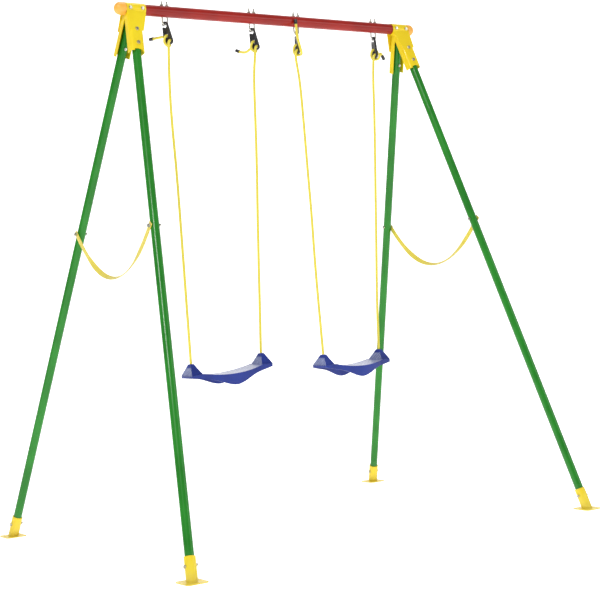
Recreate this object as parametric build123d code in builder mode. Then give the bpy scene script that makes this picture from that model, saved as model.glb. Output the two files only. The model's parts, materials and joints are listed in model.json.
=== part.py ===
from build123d import *
import os
from math import cos, pi, radians, sin, sqrt, tan

# Double swing set, millimetres, +Z up. The crossbar runs along X. The origin is on the
# ground, midway between the four feet.

# ---- Driving dimensions -------------------------------------------------------------
BAR_HEIGHT = 1950.0  # ground to crossbar axis
BAR_DIAMETER = 42.0
BAR_WALL = 1.5
BAR_OVERHANG = 4.0  # crossbar tube past the outer edge of the brackets

LEG_DIAMETER = 32.0
LEG_WALL = 1.2
LEG_APEX_OFFSET = 6.0  # leg axes meet the crossbar axis this far outside the saddle's middle
FOOT_X = 896.5  # leg axes on the ground
FOOT_Y = 666.5
LEG_TOP_REACH = 20.0  # crossbar's underside to the leg's top, past one leg radius
PLUG_DEPTH = 14.0
PLUG_LIP = 3.0

SHEET = 2.0  # thickness of the pressed brackets
FIT = 0.15  # clearance between a pressed part and the tube it holds
HALVES_GAP = 0.3  # between the front and rear bracket of a pair
SADDLE_WIDTH = 78.0
SADDLE_X = 619.0
CHANNEL_WIDTH = 57.0
CHANNEL_CORNER = 13.0
CHANNEL_RETURN = 13.0  # side flanges reach this far inward of the leg axis
CHANNEL_LAP = 111.0  # leg inside its bracket, measured upright
CHANNEL_ARCH = 9.0
SHOULDER_TOP = 9.0  # the web widens to the saddle between these drops
SHOULDER_FULL = 20.0
SHOULDER_END = 92.0
BAR_BOLT_OFFSETS = (-24.0, 26.0)  # from the middle of the saddle
BAR_BOLT_RISE = 2.0
LEG_BOLT_REACHES = (27.0, 79.0)  # top of the leg down to each bolt, measured upright

CAP_STAND = 2.5  # cap skirt stands this far outside the crossbar tube
CAP_SKIRT = 15.0
CAP_SPIGOT = 10.0
CAP_GAP = 2.0  # shadow gap between bracket and cap

BOLT_DIAMETER = 6.0
BOLT_HOLE = BOLT_DIAMETER + 0.6
HEAD_FLATS = BOLT_DIAMETER + 4.0
HEAD_HEIGHT = 4.0
FLANGE_DIAMETER = HEAD_FLATS + 3.0
FLANGE_HEIGHT = 1.4
NUT_HEIGHT = 5.0
NUT_BORE_GAP = 0.05
BOLT_POINT = 1.5  # thread showing past a nut
SEAT_SLOPE_GAP = 1.1  # room under a bolt head that sits across a sloping leg

SLEEVE_WALL = 3.5
SLEEVE_HEIGHT = 78.0
FOOT_PLATE = 84.0
FOOT_PLATE_THICKNESS = 3.0
FOOT_PLATE_CORNER = 14.0
FOOT_BOLT_HEIGHT = 50.0
ANCHOR_OFFSET = 31.0
ANCHOR_HOLE = 9.0

STRAP_HEIGHT = 1152.0
STRAP_SAG = 172.0
STRAP_WIDTH = 20.0
STRAP_THICKNESS = 2.4
STRAP_LIFT = 1.1  # packing that lets the strap pass flat across the sloping leg
STRAP_TAB = 13.0  # strap past the bolt
STRAP_SECTIONS = 56
STRAP_ROLL = 58.0  # the strap lies over by this much at its lowest point
STRAP_ROLL_END = 0.7  # share of the half span where it is upright again

HANGER_X = (-490.0, -104.5, 104.5, 490.0)
U_SPACING = 22.0
U_LOOP_REACH = 27.0  # underside of the crossbar to the wire's centre in the loop
U_TOP_REACH = 17.0  # top of the crossbar to the ends of the U-bolt
WASHER_DIAMETER = BOLT_DIAMETER + 8.0
WASHER_HEIGHT = 1.5

ROPE = 10.0
PLATE = 9.0  # thickness of a rope adjuster
LOBE_LOW = 10.5
LOBE_SPREAD = 10.0
LOBE_DROP = 67.0
LOBE_ROUND = 1.0
EYE = BOLT_DIAMETER / 2 + 4.6
LOBE_TOP = EYE + 4.9
EYE_DROP = 3.8
EYE_ROUND = 3.8
HOLE_ROUND = 1.5
RECESS = (14.0, 8.0)
RECESS_DROP = 28.0
RECESS_DEPTH = 1.2
ROPE_HOLE = ROPE + 3.8
UPPER_HOLE = (0.0, -42.0)
LOWER_HOLE = (10.5, -64.0)
NOTCH = (-3.5, -81.0)
NOTCH_RADIUS = ROPE / 2 + 1.8
GATE_PIVOT = (2.0, -15.5)
GATE_ANGLE = 142.8
GATE_LENGTH = 14.2
GATE_THICKNESS = 2.4
GATE_WIDTH = 5.0
GATE_HUB = 2.5
GATE_PIN = 1.3
GATE_CLEAR = 0.3
GATE_CHEEK = 10.0
RUNNING_FIT = 0.05
MOUTH = 5.2
PLATE_TURNS = (16.0, 15.0, -16.0, -12.0)  # each adjuster turned about the vertical
PLATE_TILTS = (12.0, 10.0, 2.0, 5.0)

ROPE_CAP_DIAMETER = ROPE + 3.0
ROPE_CAP_LENGTH = 19.0
ROPE_CAP_GRIP = 12.0

EAR_SPACING = 315.0
SEAT_HALF = 185.0
SEAT_X = 297.0
LEFT_SEAT_HEIGHT = 659.0  # ground to the line through the tops of the ears
RIGHT_SEAT_HEIGHT = 644.0
LEFT_SEAT_LEAN = 3.6
RIGHT_SEAT_TWIST = 7.6
SEAT_END_WIDTH = 86.0
SEAT_WAIST_X = 112.0
SEAT_WAIST_WIDTH = 98.0
SEAT_BELLY_WIDTH = 122.0
SEAT_WALL = 3.5
SEAT_CORNER = 18.0
LEDGE_DROP = 42.0
SURFACE_END = (133.0, 38.5)
SURFACE_DROP = 54.0
SKIRT_END_DROP = 50.0
SKIRT_KNEE = (112.0, 63.0)
SKIRT_BELLY = (76.0, 73.0)
SKIRT_DROP = 96.0
EAR_TOP_HALF = 9.0
EAR_BASE_HALF = 39.0
EAR_OUTER_RUN = 24.0
EAR_CREST = 7.0
EAR_HOLE = ROPE + 2.0
EAR_ROOF = 4.0
EAR_HOLLOW = (14.2, 18.0)  # how far in and down the middle of the concave side is
SEAT_BLEND = 50.0
KNOT_DIAMETER = 19.0
KNOT_LENGTH = 20.0
KNOT_NECK = 9.0  # ear top down to where the knot begins to swell
KNOT_TOP = 25.0
ROPE_LIFT = 1.0  # rope end above the tilt axis at the top of an ear
STUB_DROP = 0.2  # knotted end below that axis

os.makedirs("parts", exist_ok=True)

# ---- Worked out ---------------------------------------------------------------------
LEG_R = LEG_DIAMETER / 2
BAR_R = BAR_DIAMETER / 2
BAR_END_X = SADDLE_X + SADDLE_WIDTH / 2 + BAR_OVERHANG
BAR_BOLT_X = [SADDLE_X + offset for offset in BAR_BOLT_OFFSETS]
CAP_DIAMETER = BAR_DIAMETER + 2 * CAP_STAND
LEG_APEX_X = SADDLE_X + LEG_APEX_OFFSET
LEG_TOP_DROP = BAR_R + LEG_R + LEG_TOP_REACH
LEG_BOLT_DROPS = [LEG_TOP_DROP + reach for reach in LEG_BOLT_REACHES]
CHANNEL_DROP = LEG_TOP_DROP + CHANNEL_LAP
U_WIRE = BOLT_DIAMETER
U_LOOP_DROP = BAR_R + U_LOOP_REACH
U_TOP_RISE = BAR_R + U_TOP_REACH
ROPE_R = ROPE / 2
SLEEVE_R = LEG_R + FIT + SLEEVE_WALL
APEX_TO_FOOT = Vector(FOOT_X - LEG_APEX_X, FOOT_Y, -BAR_HEIGHT).length
LEG_LEAN = APEX_TO_FOOT / BAR_HEIGHT  # length along a leg for each unit of height
SIDES = {"left": -1, "right": 1}
ENDS = {"front": -1, "rear": 1}
LEGS = [(side, end) for side in SIDES for end in ENDS]


def save(part, name):
    part.label = name
    export_step(part, f"parts/{name}.step")


def leg_plane(side, end, height=0.0):
    """Plane across a leg's axis: x points outward in the A-frame, z up the leg."""
    sx, sy = SIDES[side], ENDS[end]
    foot = Vector(sx * FOOT_X, sy * FOOT_Y, 0)
    apex = Vector(sx * LEG_APEX_X, 0, BAR_HEIGHT)
    up = (apex - foot).normalized()
    outward = Vector(0, sy, 0)
    outward = (outward - up * outward.dot(up)).normalized()
    return Plane(origin=foot + up * (height * LEG_LEAN), x_dir=outward, z_dir=up)


def hex_bolt(seat, reach):
    """Flanged hex bolt: the seat plane's z points out of the head."""
    with BuildPart() as bolt:
        with BuildSketch(seat):
            Circle(FLANGE_DIAMETER / 2)
        extrude(amount=FLANGE_HEIGHT)
        with BuildSketch(seat.offset(FLANGE_HEIGHT)):
            RegularPolygon(HEAD_FLATS / 2, 6, major_radius=False)
        extrude(amount=HEAD_HEIGHT)
        with BuildSketch(seat):
            Circle(BOLT_DIAMETER / 2)
        extrude(amount=-reach)
    return bolt.part


def hex_nut(seat, height=NUT_HEIGHT):
    with BuildPart() as nut:
        with BuildSketch(seat):
            RegularPolygon(HEAD_FLATS / 2, 6, major_radius=False)
            Circle(BOLT_DIAMETER / 2 + NUT_BORE_GAP, mode=Mode.SUBTRACT)
        extrude(amount=height)
    return nut.part


def washer(seat):
    with BuildPart() as ring:
        with BuildSketch(seat):
            Circle(WASHER_DIAMETER / 2)
            Circle(BOLT_DIAMETER / 2 + NUT_BORE_GAP, mode=Mode.SUBTRACT)
        extrude(amount=WASHER_HEIGHT)
    return ring.part


def rod(start, finish, radius):
    """Plain cylinder between two points, for drilling holes."""
    axis = finish - start
    with BuildPart() as cutter:
        with BuildSketch(Plane(origin=start, z_dir=axis)):
            Circle(radius)
        extrude(amount=axis.length)
    return cutter.part


def group(pieces):
    with BuildPart() as together:
        for piece in pieces:
            add(piece)
    return together.part


# ---- Bolt places --------------------------------------------------------------------
def bar_bolt_points(side):
    height = BAR_HEIGHT + BAR_BOLT_RISE
    return [Vector(SIDES[side] * x, 0, height) for x in BAR_BOLT_X]


def leg_bolt_planes(side, end):
    """One plane for each bolt through a bracket and leg: z points outward."""
    planes = []
    for drop in LEG_BOLT_DROPS:
        across = leg_plane(side, end, BAR_HEIGHT - drop)
        planes.append(Plane(origin=across.origin, x_dir=across.z_dir, z_dir=across.x_dir))
    return planes


def side_bolt_plane(side, end, height):
    """Plane at a leg's axis whose z points along X, away from the swings."""
    sx = SIDES[side]
    return Plane(origin=leg_plane(side, end, height).origin, x_dir=(0, 1, 0), z_dir=(sx, 0, 0))


def side_hole(side, end, height, radius):
    plane = side_bolt_plane(side, end, height)
    reach = plane.z_dir * (SLEEVE_R + LEG_DIAMETER)
    return rod(plane.origin - reach, plane.origin + reach, radius)


# ---- Crossbar and its caps ----------------------------------------------------------
with BuildPart() as crossbar:
    with BuildSketch(Plane.YZ.offset(-BAR_END_X)):
        with Locations((0, BAR_HEIGHT)):
            Circle(BAR_R)
            Circle(BAR_R - BAR_WALL, mode=Mode.SUBTRACT)
    extrude(amount=2 * BAR_END_X)
    for hanger in HANGER_X:
        for leg_x in (hanger - U_SPACING / 2, hanger + U_SPACING / 2):
            low = Vector(leg_x, 0, BAR_HEIGHT - BAR_DIAMETER)
            high = Vector(leg_x, 0, BAR_HEIGHT + BAR_DIAMETER)
            add(rod(low, high, BOLT_HOLE / 2), mode=Mode.SUBTRACT)
    for side in SIDES:
        for point in bar_bolt_points(side):
            reach = Vector(0, BAR_DIAMETER, 0)
            add(rod(point - reach, point + reach, BOLT_HOLE / 2), mode=Mode.SUBTRACT)
save(crossbar.part, "crossbar")

for side, sx in SIDES.items():
    skirt_start = SADDLE_X + SADDLE_WIDTH / 2 + CAP_GAP
    dome_start = skirt_start + CAP_SKIRT
    dome_tip = dome_start + CAP_DIAMETER / 2
    spigot_end = BAR_END_X - CAP_SPIGOT
    spigot_r = BAR_R - BAR_WALL - FIT
    cap_r = CAP_DIAMETER / 2
    with BuildPart() as cap:
        with BuildSketch(Plane.XY.offset(BAR_HEIGHT)):
            with BuildLine():
                Polyline(
                    (sx * spigot_end, 0),
                    (sx * spigot_end, spigot_r),
                    (sx * BAR_END_X, spigot_r),
                    (sx * BAR_END_X, BAR_R + FIT),
                    (sx * skirt_start, BAR_R + FIT),
                    (sx * skirt_start, cap_r),
                    (sx * dome_start, cap_r),
                )
                CenterArc((sx * dome_start, 0), cap_r, 90, -90 * sx)
                Line((sx * dome_tip, 0), (sx * spigot_end, 0))
            make_face()
        revolve(axis=Axis((0, 0, BAR_HEIGHT), (1, 0, 0)))
    save(cap.part, f"{side}_end_cap")

# ---- Legs, plugs and feet -----------------------------------------------------------
LEG_START = FOOT_PLATE_THICKNESS + LEG_R * sqrt(1 - 1 / LEG_LEAN**2) + 0.5
plugs = []
for side, end in LEGS:
    sx, sy = SIDES[side], ENDS[end]
    leg_length = (BAR_HEIGHT - LEG_TOP_DROP - LEG_START) * LEG_LEAN
    with BuildPart() as leg:
        with BuildSketch(leg_plane(side, end, LEG_START)):
            Circle(LEG_R)
            Circle(LEG_R - LEG_WALL, mode=Mode.SUBTRACT)
        extrude(amount=leg_length)
        for plane in leg_bolt_planes(side, end):
            reach = plane.z_dir * LEG_DIAMETER
            hole = rod(plane.origin - reach, plane.origin + reach, BOLT_HOLE / 2)
            add(hole, mode=Mode.SUBTRACT)
        for height in (STRAP_HEIGHT, FOOT_BOLT_HEIGHT):
            add(side_hole(side, end, height, BOLT_HOLE / 2), mode=Mode.SUBTRACT)
    save(leg.part, f"{side}_{end}_leg")

    leg_end = leg_plane(side, end, BAR_HEIGHT - LEG_TOP_DROP)
    with BuildPart() as plug:
        with BuildSketch(leg_end.offset(-PLUG_DEPTH)):
            Circle(LEG_R - LEG_WALL - FIT)
        extrude(amount=PLUG_DEPTH)
        with BuildSketch(leg_end):
            Circle(LEG_R)
        extrude(amount=PLUG_LIP)
        top_rim = plug.edges().filter_by(GeomType.CIRCLE).sort_by(Axis.Z)[-1]
        fillet(top_rim, PLUG_LIP / 2)
    plugs.append(plug.part)

    with BuildPart() as foot:
        with BuildSketch(leg_plane(side, end).offset(-SLEEVE_R)):
            Circle(SLEEVE_R)
        extrude(amount=SLEEVE_R + SLEEVE_HEIGHT * LEG_LEAN)
        split(bisect_by=Plane.XY, keep=Keep.TOP)
        with BuildSketch(leg_plane(side, end, FOOT_PLATE_THICKNESS).offset(-LEG_R)):
            Circle(LEG_R + FIT)
        extrude(amount=LEG_R + SLEEVE_HEIGHT * LEG_LEAN, mode=Mode.SUBTRACT)
        with BuildSketch(Plane.XY):
            with Locations((sx * FOOT_X, sy * FOOT_Y)):
                RectangleRounded(FOOT_PLATE, FOOT_PLATE, FOOT_PLATE_CORNER)
                with GridLocations(2 * ANCHOR_OFFSET, 0, 2, 1):
                    Circle(ANCHOR_HOLE / 2, mode=Mode.SUBTRACT)
        extrude(amount=FOOT_PLATE_THICKNESS)
        hole = side_hole(side, end, FOOT_BOLT_HEIGHT, BOLT_HOLE / 2)
        add(hole, mode=Mode.SUBTRACT)
    save(foot.part, f"{side}_{end}_foot")
save(group(plugs), "leg_plugs")

# ---- Pressed brackets ---------------------------------------------------------------
WEB_IN = LEG_R + FIT
WEB_OUT = WEB_IN + SHEET
SADDLE_R = BAR_R + FIT + SHEET


def channel(side, end, inner_face, half_width, corner):
    """Solid bar of the bracket's channel section, square to the leg."""
    low = leg_plane(side, end, BAR_HEIGHT - CHANNEL_DROP)
    depth = CHANNEL_RETURN + inner_face
    with BuildPart() as filled:
        with BuildSketch(low) as outline:
            with Locations((inner_face - depth / 2, 0)):
                Rectangle(depth, 2 * half_width)
            fillet([v for v in outline.vertices() if v.X > 0], corner)
        extrude(amount=CHANNEL_DROP * LEG_LEAN)
    return filled.part


def half_space(end):
    """Block that fills everything behind the joint face of a front or rear bracket."""
    sy = ENDS[end]
    reach = 2 * CHANNEL_DROP
    with BuildPart() as block:
        with BuildSketch(Plane.XZ.offset(-sy * HALVES_GAP / 2)):
            with Locations((0, BAR_HEIGHT)):
                Rectangle(2 * BAR_END_X + reach, 2 * reach)
        extrude(amount=sy * reach)
    return block.part


for side, end in LEGS:
    sx, sy = SIDES[side], ENDS[end]
    apex = leg_plane(side, end, BAR_HEIGHT)
    sideways = apex.y_dir
    web = Plane(origin=apex.origin + apex.x_dir * WEB_IN, x_dir=sideways, z_dir=apex.x_dir)
    up_sign = 1 if web.y_dir.dot(apex.z_dir) > 0 else -1
    arch_r = ((CHANNEL_WIDTH / 2 - SHEET) ** 2 + CHANNEL_ARCH**2) / (2 * CHANNEL_ARCH)
    arch_at = up_sign * (CHANNEL_ARCH - arch_r - CHANNEL_DROP * LEG_LEAN)
    with BuildPart() as bracket:
        add(channel(side, end, WEB_OUT, CHANNEL_WIDTH / 2, CHANNEL_CORNER))
        inside = channel(side, end, WEB_IN, CHANNEL_WIDTH / 2 - SHEET, CHANNEL_CORNER - SHEET)
        add(inside, mode=Mode.SUBTRACT)
        with BuildSketch(web):
            shift = (SADDLE_X - LEG_APEX_X) * sx * sideways.X
            left_edge, right_edge = shift - SADDLE_WIDTH / 2, shift + SADDLE_WIDTH / 2
            narrow = CHANNEL_WIDTH / 2
            Polygon(
                (left_edge, -up_sign * SHOULDER_TOP),
                (right_edge, -up_sign * SHOULDER_TOP),
                (right_edge, -up_sign * SHOULDER_FULL),
                (narrow, -up_sign * SHOULDER_END),
                (-narrow, -up_sign * SHOULDER_END),
                (left_edge, -up_sign * SHOULDER_FULL),
                align=None,
            )
        extrude(amount=SHEET)
        with BuildSketch(web):
            with Locations((0, arch_at)):
                Circle(arch_r)
        extrude(amount=2 * SHEET, mode=Mode.SUBTRACT)
        with BuildSketch(Plane.YZ.offset(sx * SADDLE_X - SADDLE_WIDTH / 2)):
            with Locations((0, BAR_HEIGHT)):
                Circle(SADDLE_R)
        extrude(amount=SADDLE_WIDTH)
        bar_start = Vector(-BAR_END_X, 0, BAR_HEIGHT)
        bar_finish = Vector(BAR_END_X, 0, BAR_HEIGHT)
        add(rod(bar_start, bar_finish, BAR_R + FIT), mode=Mode.SUBTRACT)
        add(half_space(end), mode=Mode.SUBTRACT)
        for point in bar_bolt_points(side):
            far = point + Vector(0, sy * 2 * BAR_DIAMETER, 0)
            add(rod(point, far, BOLT_HOLE / 2), mode=Mode.SUBTRACT)
            head_seat = point + Vector(0, sy * SADDLE_R, 0)
            add(rod(head_seat, far, FLANGE_DIAMETER / 2 + FIT), mode=Mode.SUBTRACT)
        for plane in leg_bolt_planes(side, end):
            far = plane.origin + plane.z_dir * LEG_DIAMETER
            add(rod(plane.origin, far, BOLT_HOLE / 2), mode=Mode.SUBTRACT)
    save(bracket.part, f"{side}_{end}_bracket")

# ---- Frame fasteners ----------------------------------------------------------------
THROUGH = NUT_HEIGHT + BOLT_POINT
bolts, nuts = [], []
for side in SIDES:
    for point in bar_bolt_points(side):
        front = Vector(0, -SADDLE_R, 0)
        head_seat = Plane(origin=point + front, x_dir=(1, 0, 0), z_dir=(0, -1, 0))
        nut_seat = Plane(origin=point - front, x_dir=(1, 0, 0), z_dir=(0, 1, 0))
        bolts.append(hex_bolt(head_seat, 2 * SADDLE_R + THROUGH))
        nuts.append(hex_nut(nut_seat))
save(group(bolts), "crossbar_bolts")
save(group(nuts), "crossbar_nuts")

bolts, nuts = [], []
for side, end in LEGS:
    for plane in leg_bolt_planes(side, end):
        under = plane.origin - plane.z_dir * (LEG_R + NUT_BORE_GAP)
        bolts.append(hex_bolt(plane.offset(WEB_OUT), WEB_OUT + LEG_R + THROUGH))
        nuts.append(hex_nut(Plane(origin=under, x_dir=plane.x_dir, z_dir=-plane.z_dir)))
save(group(bolts), "leg_bolts")
save(group(nuts), "leg_nuts")

# A bolt along X crosses a leg that leans, so the leg is this much wider there.
LEG_X_TILT = (FOOT_X - LEG_APEX_X) / APEX_TO_FOOT
X_STRETCH = 1 / sqrt(1 - LEG_X_TILT**2)


def side_fastener(side, end, height, radius, packing):
    """Bolt and nut along X: the head's seat stands off the tube by the packing."""
    plane = side_bolt_plane(side, end, height)
    stand_off = radius * X_STRETCH + SEAT_SLOPE_GAP
    bolt = hex_bolt(plane.offset(stand_off + packing), 2 * stand_off + packing + THROUGH)
    under = plane.origin - plane.z_dir * stand_off
    nut = hex_nut(Plane(origin=under, x_dir=plane.x_dir, z_dir=-plane.z_dir))
    return bolt, nut


STRAP_PACKING = STRAP_LIFT + STRAP_THICKNESS + 2 * FIT + WASHER_HEIGHT
for name, height, radius, packing in (
    ("foot", FOOT_BOLT_HEIGHT, SLEEVE_R, 0.0),
    ("strap", STRAP_HEIGHT, LEG_R, STRAP_PACKING),
):
    pairs = [side_fastener(side, end, height, radius, packing) for side, end in LEGS]
    save(group([bolt for bolt, nut in pairs]), f"{name}_bolts")
    save(group([nut for bolt, nut in pairs]), f"{name}_nuts")

# ---- Safety straps ------------------------------------------------------------------
strap_off = LEG_R * X_STRETCH + SEAT_SLOPE_GAP + STRAP_LIFT + FIT
strap_washers = []
for side, end in LEGS:
    plane = side_bolt_plane(side, end, STRAP_HEIGHT)
    strap_washers.append(washer(plane.offset(strap_off + STRAP_THICKNESS + FIT)))
save(group(strap_washers), "strap_washers")


def strap_section(x, half_span, share):
    """Plane across the strap at a share of its half span, and how flat it hangs."""
    tangent = Vector(0, half_span, 2 * STRAP_SAG * share).normalized()
    y, z = half_span * share, STRAP_HEIGHT - STRAP_SAG * (1 - share**2)
    roll = radians(STRAP_ROLL) * max(0.0, 1 - (share / STRAP_ROLL_END) ** 2)
    width_dir = Vector(sin(roll), -tangent.Z * cos(roll), tangent.Y * cos(roll))
    return Plane(origin=(x, y, z), x_dir=width_dir, z_dir=tangent)


for side, sx in SIDES.items():
    bolt_at = side_bolt_plane(side, "rear", STRAP_HEIGHT).origin
    x = bolt_at.X + sx * (strap_off + STRAP_THICKNESS / 2)
    half_span = bolt_at.Y
    sections = []
    for step in range(STRAP_SECTIONS + 1):
        sections.append(strap_section(x, half_span, 2 * step / STRAP_SECTIONS - 1))
    sections.insert(0, sections[0].offset(-STRAP_TAB))
    sections.append(sections[-1].offset(STRAP_TAB))
    with BuildPart() as strap:
        for section in sections:
            with BuildSketch(section):
                Rectangle(STRAP_WIDTH, STRAP_THICKNESS)
        loft(ruled=True)
        for end in ENDS:
            hole = side_hole(side, end, STRAP_HEIGHT, BOLT_HOLE / 2)
            add(hole, mode=Mode.SUBTRACT)
    save(strap.part, f"{side}_safety_strap")

# ---- U-bolts ------------------------------------------------------------------------
LOOP_R = U_SPACING / 2
WIRE_HEIGHT = BAR_HEIGHT - U_LOOP_DROP
HANGERS = [("left", "outer"), ("left", "inner"), ("right", "inner"), ("right", "outer")]
top_nuts, top_washers = [], []
for (side, place), hanger in zip(HANGERS, HANGER_X):
    loop_centre = WIRE_HEIGHT + LOOP_R
    with BuildPart() as u_bolt:
        with BuildLine() as route:
            left, right = hanger - LOOP_R, hanger + LOOP_R
            top = BAR_HEIGHT + U_TOP_RISE
            Line((left, 0, top), (left, 0, loop_centre))
            ThreePointArc((left, 0, loop_centre), (hanger, 0, WIRE_HEIGHT), (right, 0, loop_centre))
            Line((right, 0, loop_centre), (right, 0, top))
        with BuildSketch(Plane(origin=(left, 0, top), z_dir=(0, 0, -1))):
            Circle(U_WIRE / 2)
        sweep()
        chamfer(u_bolt.edges().group_by(Axis.Z)[-1], U_WIRE / 8)
    save(u_bolt.part, f"{side}_{place}_u_bolt")
    for leg_x in (left, right):
        seat = Plane(origin=(leg_x, 0, BAR_HEIGHT + BAR_R + NUT_BORE_GAP), z_dir=(0, 0, 1))
        top_washers.append(washer(seat))
        top_nuts.append(hex_nut(seat.offset(WASHER_HEIGHT + NUT_BORE_GAP)))
save(group(top_washers), "u_bolt_washers")
save(group(top_nuts), "u_bolt_nuts")

# ---- Rope adjusters and their spring gates ------------------------------------------
def hanger_plane(index):
    """Adjuster frame at the wire: x across its face, y up it, z out of its face."""
    turn, tilt = radians(PLATE_TURNS[index]), radians(PLATE_TILTS[index])
    across = Vector(sin(turn), -cos(turn), 0) * cos(tilt) + Vector(0, 0, sin(tilt))
    facing = Vector(-cos(turn), -sin(turn), 0)
    return Plane(origin=(HANGER_X[index], 0, WIRE_HEIGHT), x_dir=across, z_dir=facing)


def around_pivot(angle, reach):
    """Point at an angle and distance from the gate's pivot, in the adjuster's face."""
    x, y = GATE_PIVOT
    return (x + reach * cos(radians(angle)), y + reach * sin(radians(angle)))


def gate_side(reach, off):
    """Point beside the closed gate's centre line: off is towards the eye."""
    x, y = around_pivot(GATE_ANGLE, reach)
    tilt = radians(GATE_ANGLE - 90)
    return (x + off * cos(tilt), y + off * sin(tilt))


GATE_EDGE = GATE_THICKNESS / 2


def gate_window(plane, cheek):
    """Space the gate swings in, open past its tip; a cheek covers the hub but for the pin."""
    edge = -GATE_EDGE - GATE_CLEAR
    with BuildSketch(plane) as window:
        with Locations(GATE_PIVOT):
            Circle(GATE_LENGTH + 3 * GATE_CLEAR)
        Polygon(
            gate_side(0, edge),
            gate_side(2 * GATE_LENGTH, edge),
            gate_side(2 * GATE_LENGTH, GATE_LENGTH),
            (EYE - 1, 0),
            (EYE - 1, GATE_PIVOT[1]),
            align=None,
            mode=Mode.INTERSECT,
        )
        Polygon(
            gate_side(GATE_LENGTH / 2, edge),
            gate_side(2 * GATE_LENGTH, edge),
            gate_side(2 * GATE_LENGTH, MOUTH),
            gate_side(GATE_LENGTH / 2, MOUTH),
            align=None,
        )
        with Locations(GATE_PIVOT):
            if cheek:
                Circle(cheek, mode=Mode.SUBTRACT)
                Circle(GATE_PIN + RUNNING_FIT)
            else:
                Circle(GATE_HUB + GATE_CLEAR)
    return window.sketch


pins = {"left": [], "right": []}
for index, (side, place) in enumerate(HANGERS):
    face = hanger_plane(index)
    back = face.offset(-PLATE / 2)
    slot = face.offset(-GATE_WIDTH / 2 - GATE_CLEAR)
    facing = Axis(face.origin, face.z_dir)
    with BuildPart() as adjuster:
        with BuildSketch(back):
            Circle(LOBE_TOP)
            with Locations((-LOBE_SPREAD, -LOBE_DROP), (LOBE_SPREAD, -LOBE_DROP)):
                Circle(LOBE_LOW)
            make_hull()
        extrude(amount=PLATE)
        fillet(adjuster.faces().filter_by(facing).edges(), LOBE_ROUND)
        with BuildSketch(back):
            with Locations(UPPER_HOLE, LOWER_HOLE):
                Circle(ROPE_HOLE / 2)
            with Locations((0, -EYE_DROP)):
                Circle(EYE)
        extrude(amount=PLATE, mode=Mode.SUBTRACT)
        faces = adjuster.faces().filter_by(facing)
        rims = faces.edges().filter_by(GeomType.CIRCLE)
        fillet([e for e in rims if abs(e.radius - ROPE_HOLE / 2) < FIT], HOLE_ROUND)
        rims = adjuster.edges().filter_by(GeomType.CIRCLE)
        fillet([e for e in rims if abs(e.radius - EYE) < FIT], EYE_ROUND)
        with BuildSketch(back):
            with Locations(NOTCH):
                Circle(NOTCH_RADIUS)
        extrude(amount=PLATE, mode=Mode.SUBTRACT)
        for front in (face.offset(PLATE / 2 - RECESS_DEPTH), back):
            with BuildSketch(front):
                with Locations((0, -RECESS_DROP)):
                    SlotOverall(*RECESS, rotation=90)
            extrude(amount=RECESS_DEPTH, mode=Mode.SUBTRACT)
        extrude(gate_window(back, GATE_CHEEK), amount=PLATE, mode=Mode.SUBTRACT)
        slot_width = GATE_WIDTH + 2 * GATE_CLEAR
        extrude(gate_window(slot, 0), amount=slot_width, mode=Mode.SUBTRACT)
    save(adjuster.part, f"{side}_{place}_adjuster")

    with BuildPart() as gate:
        with BuildSketch(face.offset(-GATE_WIDTH / 2)):
            with Locations(GATE_PIVOT):
                Circle(GATE_HUB)
            Polygon(
                gate_side(0, -GATE_EDGE),
                gate_side(GATE_LENGTH, -GATE_EDGE),
                gate_side(GATE_LENGTH, GATE_EDGE),
                gate_side(0, GATE_EDGE),
                align=None,
            )
            with Locations(GATE_PIVOT):
                Circle(GATE_PIN + RUNNING_FIT, mode=Mode.SUBTRACT)
        extrude(amount=GATE_WIDTH)
    save(gate.part, f"{side}_{place}_gate")

    with BuildPart() as pin:
        with BuildSketch(back):
            with Locations(GATE_PIVOT):
                Circle(GATE_PIN)
        extrude(amount=PLATE)
    pins[side].append(pin.part)
for side in SIDES:
    save(group(pins[side]), f"{side}_gate_pins")

# ---- Seats --------------------------------------------------------------------------
LEFT_AXIS = Vector(cos(radians(LEFT_SEAT_LEAN)), 0, sin(radians(LEFT_SEAT_LEAN)))
RIGHT_AXIS = Vector(cos(radians(RIGHT_SEAT_TWIST)), sin(radians(RIGHT_SEAT_TWIST)), 0)
SEAT_PLANES = {
    "left": Plane(
        origin=(-SEAT_X, 0, LEFT_SEAT_HEIGHT), x_dir=LEFT_AXIS, z_dir=LEFT_AXIS.cross(Vector(0, 1, 0))
    ),
    "right": Plane(origin=(SEAT_X, 0, RIGHT_SEAT_HEIGHT), x_dir=RIGHT_AXIS, z_dir=(0, 0, 1)),
}
EAR_X = EAR_SPACING / 2


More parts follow.
